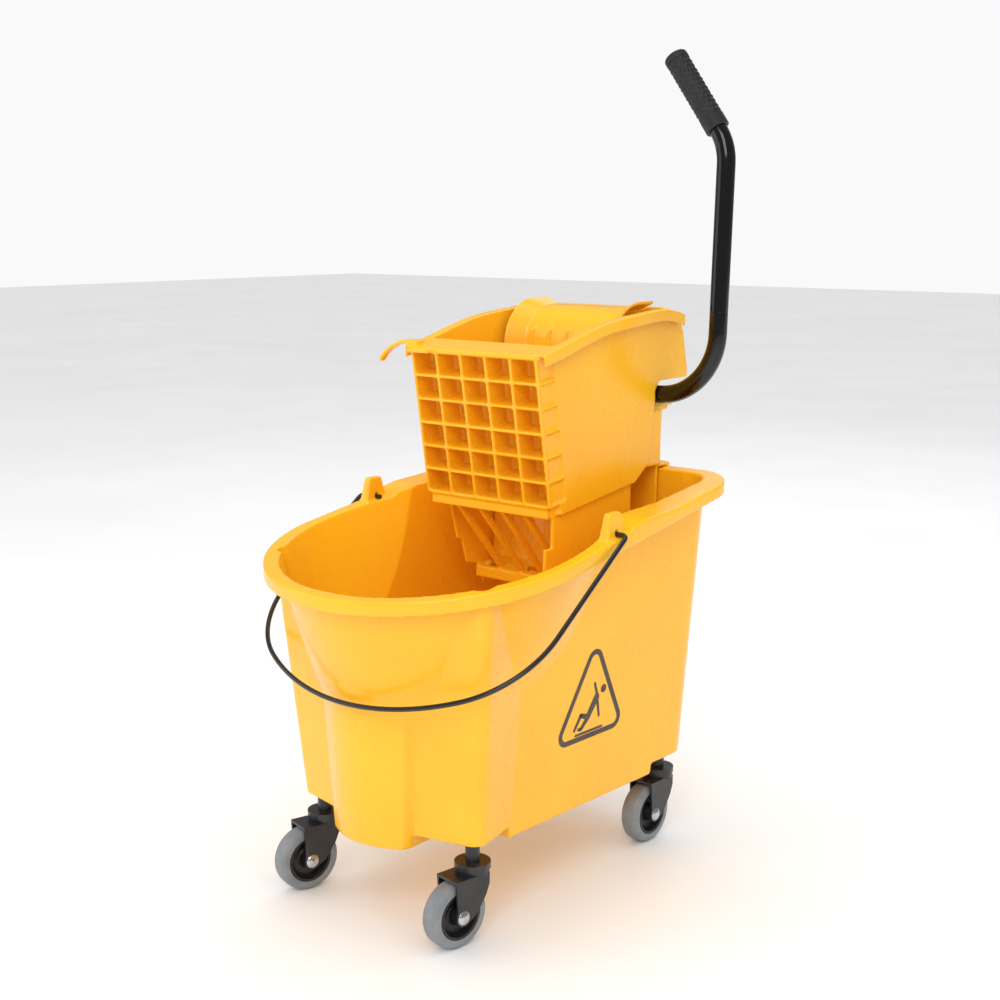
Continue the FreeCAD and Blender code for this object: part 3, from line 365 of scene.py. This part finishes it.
def settle_on(mesh: bpy.types.Mesh, source: bpy.types.Mesh, edge_mm: float) -> None:
    """Lay a rebuilt skin on the faces it came from, except within edge_mm of a crisp edge.

    Args:
        mesh: Rebuilt skin, changed in place.
        source: Mesh that it was rebuilt from.
        edge_mm: Width beside each crisp edge that stays rounded.
    """
    shape = bmesh.new()
    shape.from_mesh(source)
    bmesh.ops.remove_doubles(shape, verts=shape.verts, dist=WELD_MM * MM)
    marks = []
    for edge in crisp_edges(shape):
        a, b = edge.verts[0].co, edge.verts[1].co
        steps = max(1, math.ceil((b - a).length / MM))
        marks += [a.lerp(b, i / steps) for i in range(steps + 1)]
    tree = BVHTree.FromBMesh(shape)
    shape.free()
    near = KDTree(len(marks))
    for index, mark in enumerate(marks):
        near.insert(mark, index)
    near.balance()
    for vertex in mesh.vertices:
        if near.find(vertex.co)[2] > edge_mm * MM:
            place, _, _, distance = tree.find_nearest(vertex.co)
            if distance < edge_mm * MM:
                vertex.co = place


def mould(node: str, name: str, finish: Finish, voxel_mm: float, keep: float,
          cutter: Optional[bpy.types.Object] = None) -> bpy.types.Object:
    """Copy a frame node as one soft-edged moulding, and let the copy stand for it.

    Args:
        node: Frame node to copy and replace.
        name: Name of the new piece.
        finish: Its surface.
        voxel_mm: Grid that the copy is rebuilt on; its edges come out about as round as this.
        keep: Share of the rebuilt faces that is kept.
        cutter: Shape taken out of the copy first, and then deleted.

    Returns:
        The new piece, riding on the node's body.
    """
    piece = new_piece(name, frame["nodes"][node].data.copy(), finish)
    if cutter:
        cut = piece.modifiers.new("cut", "BOOLEAN")
        cut.operation = "DIFFERENCE"
        cut.solver = "EXACT"
        cut.object = cutter
        apply_modifiers(piece)
        bpy.data.objects.remove(cutter)
    source = piece.data.copy()
    grid = piece.modifiers.new("grid", "REMESH")
    grid.mode = "VOXEL"
    grid.voxel_size = voxel_mm * MM
    smoothing = piece.modifiers.new("smooth", "SMOOTH")
    smoothing.factor = 0.5
    smoothing.iterations = 4
    thinning = piece.modifiers.new("thin", "DECIMATE")
    thinning.ratio = keep
    apply_modifiers(piece)
    settle_on(piece.data, source, 1.6 * voxel_mm)
    piece.data.materials.clear()
    piece.data.materials.append(finish.material())
    piece.data.shade_smooth()
    stand_for(piece, node)
    log.info("%s has %d faces", name, len(piece.data.polygons))
    return piece


def stand_for(piece: bpy.types.Object, node: str) -> None:
    """Let a piece ride on a frame node's body, and hide the node.

    Args:
        piece: Finished piece.
        node: Frame node that it stands for.
    """
    record = frame["record"]
    body = next(name for name, members in record["behaviour"]["bodies"].items() if node in members)
    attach(piece, body)
    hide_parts(node)
    log.info("%s stands for %s on %s", piece.name, node, body)


def revolve(profile: Sequence[Point2], steps: int, centre: Vector, axis: Vector) -> bpy.types.Mesh:
    """Turn a closed profile about an axis.

    Args:
        profile: Closed outline as (along the axis, radius), in millimetres.
        steps: Facets round the axis.
        centre: Point on the axis where the profile's first number is zero, in metres.
        axis: Direction of the axis.

    Returns:
        A closed ring-shaped or solid mesh.
    """
    shape = bmesh.new()
    lean = axis.normalized().to_track_quat("X", "Z").to_matrix()
    rings = []
    for step in range(steps):
        turn = 2 * math.pi * step / steps
        ring = []
        for along, radius in profile:
            local = Vector((along, radius * math.cos(turn), radius * math.sin(turn))) * MM
            ring.append(shape.verts.new(centre + lean @ local))
        rings.append(ring)
    for step in range(steps):
        here, ahead = rings[step], rings[(step + 1) % steps]
        for i in range(len(profile)):
            j = (i + 1) % len(profile)
            shape.faces.new((here[i], here[j], ahead[j], ahead[i]))
    bmesh.ops.remove_doubles(shape, verts=shape.verts, dist=0.001 * MM)
    bmesh.ops.recalc_face_normals(shape, faces=shape.faces)
    mesh = bpy.data.meshes.new("revolved")
    shape.to_mesh(mesh)
    shape.free()
    return mesh


def arc(centre: Point2, radius: float, start: float, end: float, steps: int) -> list[Point2]:
    """Points along an arc.

    Args:
        centre: Its centre.
        radius: Its radius.
        start: Angle of the first point, in degrees.
        end: Angle of the last point, in degrees.
        steps: Number of spans between points.

    Returns:
        The points, one more than the spans.
    """
    points = []
    for i in range(steps + 1):
        turn = math.radians(start + (end - start) * i / steps)
        points.append((centre[0] + radius * math.cos(turn), centre[1] + radius * math.sin(turn)))
    return points


# ---------------------------------------------------------------- sub-assemblies
@dataclass
class Bucket:
    """The moulded bucket, its printed pictogram and its wire bail."""

    voxel: float = 1.7
    kept_faces: float = 0.22
    sign_y: float = 26.0
    sign_base_z: float = 183.0
    sign_half: float = 66.0
    sign_height: float = 124.0
    sign_corner: float = 14.0
    sign_line: float = 6.5
    ink_film: float = 0.25
    beside: float = 400.0

    def build(self) -> None:
        """Make the bucket's pieces."""
        mould("bucket_body", "moulded_bucket", MOULDED_POLYPROPYLENE, self.voxel, self.kept_faces)
        dress("bail", POWDER_COAT)
        self.sign()

    def skin(self, y: float, z: float, tree: BVHTree) -> Vector:
        """Point of the right-hand side panel.

        Args:
            y: Place along the panel, in millimetres.
            z: Height, in millimetres.
            tree: The bucket's surface.

        Returns:
            The point on the skin, in metres.
        """
        hit = tree.ray_cast(Vector((self.beside, y, z)) * MM, Vector((-1, 0, 0)))
        return hit[0]

    def slab(self, shape: bmesh.types.BMesh, outline: Sequence[Point2], inner: Sequence[Point2],
             tree: BVHTree) -> None:
        """Add one inked shape: a ring between two outlines, or a filled outline.

        Args:
            shape: Mesh being built.
            outline: Outer points as (y, z) in millimetres.
            inner: Inner points, as many as the outer ones, or none for a filled shape.
            tree: The bucket's surface.
        """
        def lifted(points: Sequence[Point2], lift: float) -> list[bmesh.types.BMVert]:
            """Vertices of an outline, raised off the skin."""
            return [shape.verts.new(self.skin(y, z, tree) + Vector((lift * MM, 0, 0))) for y, z in points]

        top, low = lifted(outline, self.ink_film), lifted(outline, -self.ink_film)
        count = len(outline)
        if inner:
            hole_top, hole_low = lifted(inner, self.ink_film), lifted(inner, -self.ink_film)
        for i in range(count):
            j = (i + 1) % count
            shape.faces.new((low[i], low[j], top[j], top[i]))
            if inner:
                shape.faces.new((top[i], top[j], hole_top[j], hole_top[i]))
                shape.faces.new((hole_top[i], hole_top[j], hole_low[j], hole_low[i]))
                shape.faces.new((hole_low[i], hole_low[j], low[j], low[i]))
        if not inner:
            shape.faces.new(top)
            shape.faces.new(list(reversed(low)))

    def triangle(self, inset: float, corner: float) -> list[Point2]:
        """Rounded triangle of the sign.

        Args:
            inset: How far its outline is moved inwards.
            corner: Radius of its corners before that.

        Returns:
            Its outline as (y, z) in millimetres.
        """
        rise = math.atan2(self.sign_height, self.sign_half)
        centre_z = self.sign_base_z + self.sign_corner
        reach_x = self.sign_half - self.sign_corner / math.tan(rise / 2)
        top_z = self.sign_base_z + self.sign_height - self.sign_corner / math.cos(rise)
        slant = math.degrees(rise)
        centres = [((reach_x, centre_z), -90, 90 - slant), ((0.0, top_z), 90 - slant, 90 + slant),
                   ((-reach_x, centre_z), 90 + slant, 270)]
        points = []
        for (x, z), start, end in centres:
            for y_off, z_off in arc((x, z), corner - inset, start, end, 10):
                points.append((self.sign_y + y_off, z_off))
        return points

    def limb(self, a: Point2, b: Point2, wide_a: float, wide_b: float) -> list[Point2]:
        """Tapered stroke with round ends.

        Args:
            a: Its start, measured from the middle of the sign's base.
            b: Its end.
            wide_a: Radius at the start.
            wide_b: Radius at the end.

        Returns:
            Its outline as (y, z) in millimetres.
        """
        heading = math.degrees(math.atan2(b[1] - a[1], b[0] - a[0]))
        outline = arc(b, wide_b, heading - 90, heading + 90, 8)
        outline += arc(a, wide_a, heading + 90, heading + 270, 8)
        return [(self.sign_y + y, self.sign_base_z + z) for y, z in outline]

    def sign(self) -> None:
        """Print a plain slip pictogram on the right-hand panel: a triangle and a toppling figure."""
        tree = BVHTree.FromObject(bpy.data.objects["moulded_bucket"], bpy.context.evaluated_depsgraph_get())
        shape = bmesh.new()
        outer, inner = self.triangle(0, self.sign_corner), self.triangle(self.sign_line, self.sign_corner)
        self.slab(shape, outer, inner, tree)
        head = ((20, 56), (20, 56.1), 5.0, 5.0)
        trunk = ((8, 48), (-6, 27), 5.0, 4.2)
        arms = [((9, 50), (3, 66), 2.2, 1.8), ((9, 48), (15, 24), 2.2, 1.8)]
        raised_leg = [((-5, 27), (-19, 32), 3.4, 2.8), ((-19, 32), (-29, 16), 2.6, 2.0)]
        lower_leg = [((-6, 26), (-17, 15), 3.4, 2.6), ((-17, 15), (-22, 15.5), 2.6, 1.8)]
        ground = ((-26, 9), (22, 9), 1.5, 1.5)
        strokes = [head, trunk, *arms, *raised_leg, *lower_leg, ground]
        for a, b, wide_a, wide_b in strokes:
            self.slab(shape, self.limb(a, b, wide_a, wide_b), (), tree)
        bmesh.ops.recalc_face_normals(shape, faces=shape.faces)
        mesh = bpy.data.meshes.new("slip_pictogram")
        shape.to_mesh(mesh)
        shape.free()
        piece = new_piece("slip_pictogram", mesh, PRINTED_INK)
        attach(piece, "bucket")
        log.info("slip_pictogram is printed on the right-hand panel")


@dataclass
class Caster:
    """One swivel caster: stem, fork, axle, wheel centre and tyre."""

    corner: Corner
    wheel_radius: float = 37.5
    wheel_half: float = 12.0
    core_radius: float = 26.5
    shoulder: float = 7.0
    sheet_edge: float = 0.7
    axle_edge: float = 0.4
    steps: int = 96

    def joint(self) -> dict:
        """The joint that this wheel spins on."""
        wanted = "wheel_" + self.corner.value
        return next(entry for entry in frame["joints"] if entry["name"] == wanted)

    def build(self) -> None:
        """Make the caster's pieces."""
        where = self.corner.value
        centre, axis = Vector(self.joint()["pos_m"]), Vector(self.joint()["axis"])
        soften("caster_fork_" + where, "pressed_fork_" + where, DIPPED_STEEL, self.sheet_edge)
        soften("caster_stem_" + where, "turned_stem_" + where, DIPPED_STEEL, self.sheet_edge)
        for kind, profile, finish in (("tyre", self.tyre_profile(), TREAD_RUBBER),
                                      ("wheel", self.core_profile(), MOULDED_NYLON)):
            mesh = revolve(profile, self.steps, centre, axis)
            smooth_by_angle(mesh, 30)
            moulded = new_piece("moulded_" + kind + "_" + where, mesh, finish)
            stand_for(moulded, "caster_" + kind + "_" + where)
        soften("caster_axle_" + where, "headed_axle_" + where, ZINC_PLATE, self.axle_edge)

    def tyre_profile(self) -> list[Point2]:
        """Flat-walled tread with round shoulders and a small bevel where it meets the centre.

        Returns:
            Closed outline as (along the axle, radius).
        """
        half, low, edge = self.wheel_half, self.core_radius, self.shoulder
        right = [(half - 1.0, low), (half, low + 1.0), (half, self.wheel_radius - edge)]
        right += arc((half - edge, self.wheel_radius - edge), edge, 0, 90, 10)[1:]
        left = [(-x, r) for x, r in reversed(right)]
        return right + left

    def core_profile(self) -> list[Point2]:
        """Dished centre with a rounded lip, a web and a hub.

        Returns:
            Closed outline as (along the axle, radius).
        """
        half, low = self.wheel_half, self.core_radius
        right = [(half - 0.6, low)] + arc((half - 1.2, low - 1.2), 1.0, 80, -10, 5)
        right += [(half - 0.6, low - 3.0), (4.0, low - 6.5), (3.0, low - 8.0), (3.0, 12.5), (4.2, 11.0),
                  (13.6, 9.4), (14.0, 8.8), (14.0, 4.1)]
        left = [(-x, r) for x, r in reversed(right)]
        return right + left


@dataclass
class Wringer:
    """The moulded wringer body, its press plate and the small parts inside its hood."""

    voxel: float = 1.3
    kept_faces: float = 0.3
    kept_plate_faces: float = 0.4
    pin_edge: float = 0.5
    bush_edge: float = 0.4
    front_low: Point2 = (3.0, 450.0)
    front_top: Point2 = (-25.0, 624.0)
    cell_rows: int = 6
    rib: float = 3.6
    cell_depth: float = 29.0
    wall_in: float = 91.4
    wall_out: float = 97.0

    def build(self) -> None:
        """Make the wringer's pieces."""
        mould("wringer_housing", "moulded_wringer", MOULDED_POLYPROPYLENE, self.voxel, self.kept_faces,
              self.end_cells())
        mould("press_plate", "moulded_press_plate", MOULDED_POLYPROPYLENE, self.voxel, self.kept_plate_faces)
        soften("plate_hinge_pin", "turned_hinge_pin", ZINC_PLATE, self.pin_edge)
        for side in ("left", "right"):
            soften("shaft_bush_" + side, "flanged_bush_" + side, NATURAL_NYLON, self.bush_edge)
        dress("return_spring", SPRING_STEEL)

    def end_cells(self) -> bpy.types.Object:
        """Shape of the shallow cells sunk in the outer faces of the two side walls, one above the other.

        Returns:
            An object made of separate boxes, to be cut out of the housing.
        """
        back = self.front_low[0] - self.front_top[0]
        rise = self.front_top[1] - self.front_low[1]
        lean = Matrix.Rotation(math.atan2(back, rise), 4, "X")
        place = Matrix.Translation(Vector((0, *self.front_low)) * MM) @ lean
        pitch = (math.hypot(back, rise) - self.rib) / self.cell_rows
        shape = bmesh.new()
        for side in (-1, 1):
            for row in range(self.cell_rows):
                depth = self.wall_out - self.wall_in
                size = Vector((depth, self.cell_depth - self.rib, pitch - self.rib)) * MM
                low = Vector((0, self.rib, self.rib + row * pitch)) * MM
                middle = low + size / 2
                middle.x = side * (self.wall_in + self.wall_out) / 2 * MM
                bmesh.ops.create_cube(shape, size=1.0, matrix=place @ Matrix.Translation(middle)
                                      @ Matrix.Diagonal((*size, 1.0)))
        mesh = bpy.data.meshes.new("end_cells")
        shape.to_mesh(mesh)
        shape.free()
        return new_piece("end_cells", mesh, MOULDED_POLYPROPYLENE)


@dataclass
class Lever:
    """The bent press lever, its grip and the parts clamped on its cross shaft."""

    shaft_y: float = 225.0
    shaft_z: float = 562.0
    lean_deg: float = 2.5
    bend_x: float = 171.0
    straight_top: float = 838.0
    top_bend: float = 67.0
    top_turn_deg: float = 36.5
    grip_radius: float = 14.5
    tube_radius: float = 11.0
    grip_length: float = 109.0
    rows: int = 150
    columns: int = 144
    knob_pitch: float = 6.5
    knob_height: float = 0.9
    knobs_from: float = 17.0
    knobs_short: float = 10.0
    band_low: float = 16.0
    band_high: float = 9.0
    end_radius: float = 4.0
    base_bevel: float = 0.8
    tube_edge: float = 0.4
    arm_edge: float = 0.6
    pad_edge: float = 0.5
    cap_edge: float = 0.8

    def build(self) -> None:
        """Make the lever's pieces."""
        soften("lever_tube_lower", "bent_tube_lower", STOVED_ENAMEL, self.tube_edge)
        soften("lever_tube_upper", "bent_tube_upper", STOVED_ENAMEL, self.tube_edge)
        for side in ("left", "right"):
            soften("cam_arm_" + side, "clamped_cam_arm_" + side, DIPPED_STEEL, self.arm_edge)
            soften("cam_pad_" + side, "turned_cam_pad_" + side, NATURAL_NYLON, self.pad_edge)
        soften("shaft_end_cap", "moulded_end_cap", MOULDED_NYLON, self.cap_edge)
        dress("snap_button", ZINC_PLATE)
        dress("arm_pins", ZINC_PLATE)
        self.grip()

    def grip_frame(self) -> Matrix:
        """Placement of the grip, whose own base is at the origin and points along +Z.

        Returns:
            The matrix that puts it on the lever's end.
        """
        turn = math.radians(self.top_turn_deg)
        x = self.bend_x - self.top_bend * (1 - math.cos(turn))
        z = self.straight_top + self.top_bend * math.sin(turn)
        base = Matrix.Translation(Vector((x, self.shaft_y, z)) * MM) @ Matrix.Rotation(-turn, 4, "Y")
        shaft = Matrix.Translation(Vector((0, self.shaft_y, self.shaft_z)) * MM)
        return shaft @ Matrix.Rotation(math.radians(-self.lean_deg), 4, "X") @ shaft.inverted() @ base

    def knob(self, angle: float, height: float) -> float:
        """Height of the raised pattern at a place on the sleeve.

        Args:
            angle: Place round the sleeve, in radians.
            height: Place along it, in millimetres.

        Returns:
            The height, from nought to one.
        """
        if height < self.knobs_from or height > self.grip_length - self.knobs_short:
            return 0.0
        count = round(2 * math.pi * self.grip_radius / self.knob_pitch)
        around = angle / (2 * math.pi) * count
        along = (height - self.knobs_from) / self.knob_pitch
        shift = 0.5 if int(along) % 2 else 0.0
        u = (around + shift) % 1 - 0.5
        v = along % 1 - 0.5
        return max(0.0, 1 - (abs(u) ** 2 + abs(v) ** 2) / 0.15) ** 0.6

    def grip(self) -> None:
        """Mould the sleeve: a closed round end, plain bands and rows of low knobs.

        The base, which sits on the tube, is left open.
        """
        shape = bmesh.new()
        place = self.grip_frame()
        rings = []
        skin = self.grip_radius - self.knob_height
        bevel, end = self.base_bevel, self.end_radius
        profile = [(0.0, self.tube_radius + 0.05), (0.0, self.grip_radius - bevel), (bevel, self.grip_radius)]
        patterned = self.grip_length - 5.6
        profile += [(bevel + patterned * i / self.rows, -1.0) for i in range(1, self.rows)]
        profile += [(self.grip_length - end + z, self.grip_radius - end + r)
                    for r, z in arc((0.0, 0.0), end, 0, 90, 8)]
        for height, radius in profile:
            ring = []
            for column in range(self.columns):
                angle = 2 * math.pi * column / self.columns
                reach = radius
                if radius < 0:
                    plain = height < self.band_low or height > self.grip_length - self.band_high
                    reach = self.grip_radius if plain else skin + self.knob_height * self.knob(angle, height)
                local = Vector((reach * math.cos(angle), reach * math.sin(angle), height)) * MM
                ring.append(shape.verts.new(place @ local))
            rings.append(ring)
        for here, ahead in zip(rings, rings[1:]):
            for i in range(self.columns):
                j = (i + 1) % self.columns
                shape.faces.new((here[i], here[j], ahead[j], ahead[i]))
        shape.faces.new(rings[-1])
        mesh = bpy.data.meshes.new("grip")
        bmesh.ops.recalc_face_normals(shape, faces=shape.faces)
        shape.to_mesh(mesh)
        shape.free()
        smooth_by_angle(mesh, 50)
        stand_for(new_piece("knobbed_grip", mesh, GRIP_RUBBER), "lever_grip")


# ---------------------------------------------------------------- studio
@dataclass
class Studio:
    """Pale floor, soft lights and the camera."""

    camera_place: tuple[float, float, float] = (1.1005, -1.3258, 0.7760)
    camera_azimuth: float = 39.12
    camera_tilt: float = 79.33
    lens_mm: float = 53.99
    target: tuple[float, float, float] = (0.0, 0.0, 0.45)
    backdrop_light: float = 0.95
    mirrored_light: float = 0.3

    def build(self) -> None:
        """Set the stage."""
        self.camera()
        self.floor()
        bpy.context.scene.view_settings.view_transform = "Standard"
        self.lamp("key_light", (1.6, -2.6, 2.4), 1.6, 34.0)
        self.lamp("fill_light", (-2.4, -1.8, 1.4), 2.2, 14.0)
        self.lamp("rim_light", (-0.6, 2.8, 2.4), 2.2, 12.0)
        self.lamp("top_light", (0.0, -0.2, 3.0), 2.2, 16.0)
        world = bpy.data.worlds.new("studio")
        world.use_nodes = True
        background = world.node_tree.nodes["Background"]
        background.inputs["Color"].default_value = (1.0, 1.0, 1.0, 1.0)
        # Mirrored light is dimmer than the backdrop, so that black enamel reads as black.
        rays = add_node(world.node_tree, "ShaderNodeLightPath").outputs["Is Glossy Ray"]
        strength = add_node(world.node_tree, "ShaderNodeMapRange", {
            "Value": rays, "To Min": self.backdrop_light, "To Max": self.mirrored_light})
        world.node_tree.links.new(strength.outputs[0], background.inputs["Strength"])
        bpy.context.scene.world = world

    def camera(self) -> None:
        """Place the camera."""
        data = bpy.data.cameras.new("camera")
        data.lens = self.lens_mm
        data.sensor_width = 36.0
        camera = bpy.data.objects.new("camera", data)
        camera.location = self.camera_place
        camera.rotation_euler = (math.radians(self.camera_tilt), 0.0, math.radians(self.camera_azimuth))
        bpy.context.scene.collection.objects.link(camera)
        bpy.context.scene.camera = camera

    def floor(self) -> None:
        """Lay a wide pale floor."""
        shape = bmesh.new()
        bmesh.ops.create_grid(shape, x_segments=4, y_segments=4, size=14.0)
        mesh = bpy.data.meshes.new("floor")
        shape.to_mesh(mesh)
        shape.free()
        paint = Finish("floor_paint", "#F6F6F6", "#F3F3F3", 0.6, 0.05, cloud_mm=900.0, grain_mm=3.0)
        new_piece("floor", mesh, paint)

    def lamp(self, name: str, place: tuple[float, float, float], size: float, power: float) -> None:
        """Hang a square soft light that faces the bucket.

        Args:
            name: Name of the light.
            place: Where it hangs, in metres.
            size: Side of its square, in metres.
            power: Power in watts.
        """
        data = bpy.data.lights.new(name, "AREA")
        data.size = size
        data.energy = power
        lamp = bpy.data.objects.new(name, data)
        lamp.location = place
        aim = Vector(self.target) - Vector(place)
        lamp.rotation_euler = aim.to_track_quat("-Z", "Y").to_euler()
        bpy.context.scene.collection.objects.link(lamp)


def main() -> None:
    """Build the studio and every sub-assembly."""
    logging.basicConfig(level=logging.INFO, format="%(name)s: %(message)s")
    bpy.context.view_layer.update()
    Studio().build()
    Bucket().build()
    for corner in Corner:
        Caster(corner).build()
    Wringer().build()
    Lever().build()


if __name__ == "__main__":
    main()
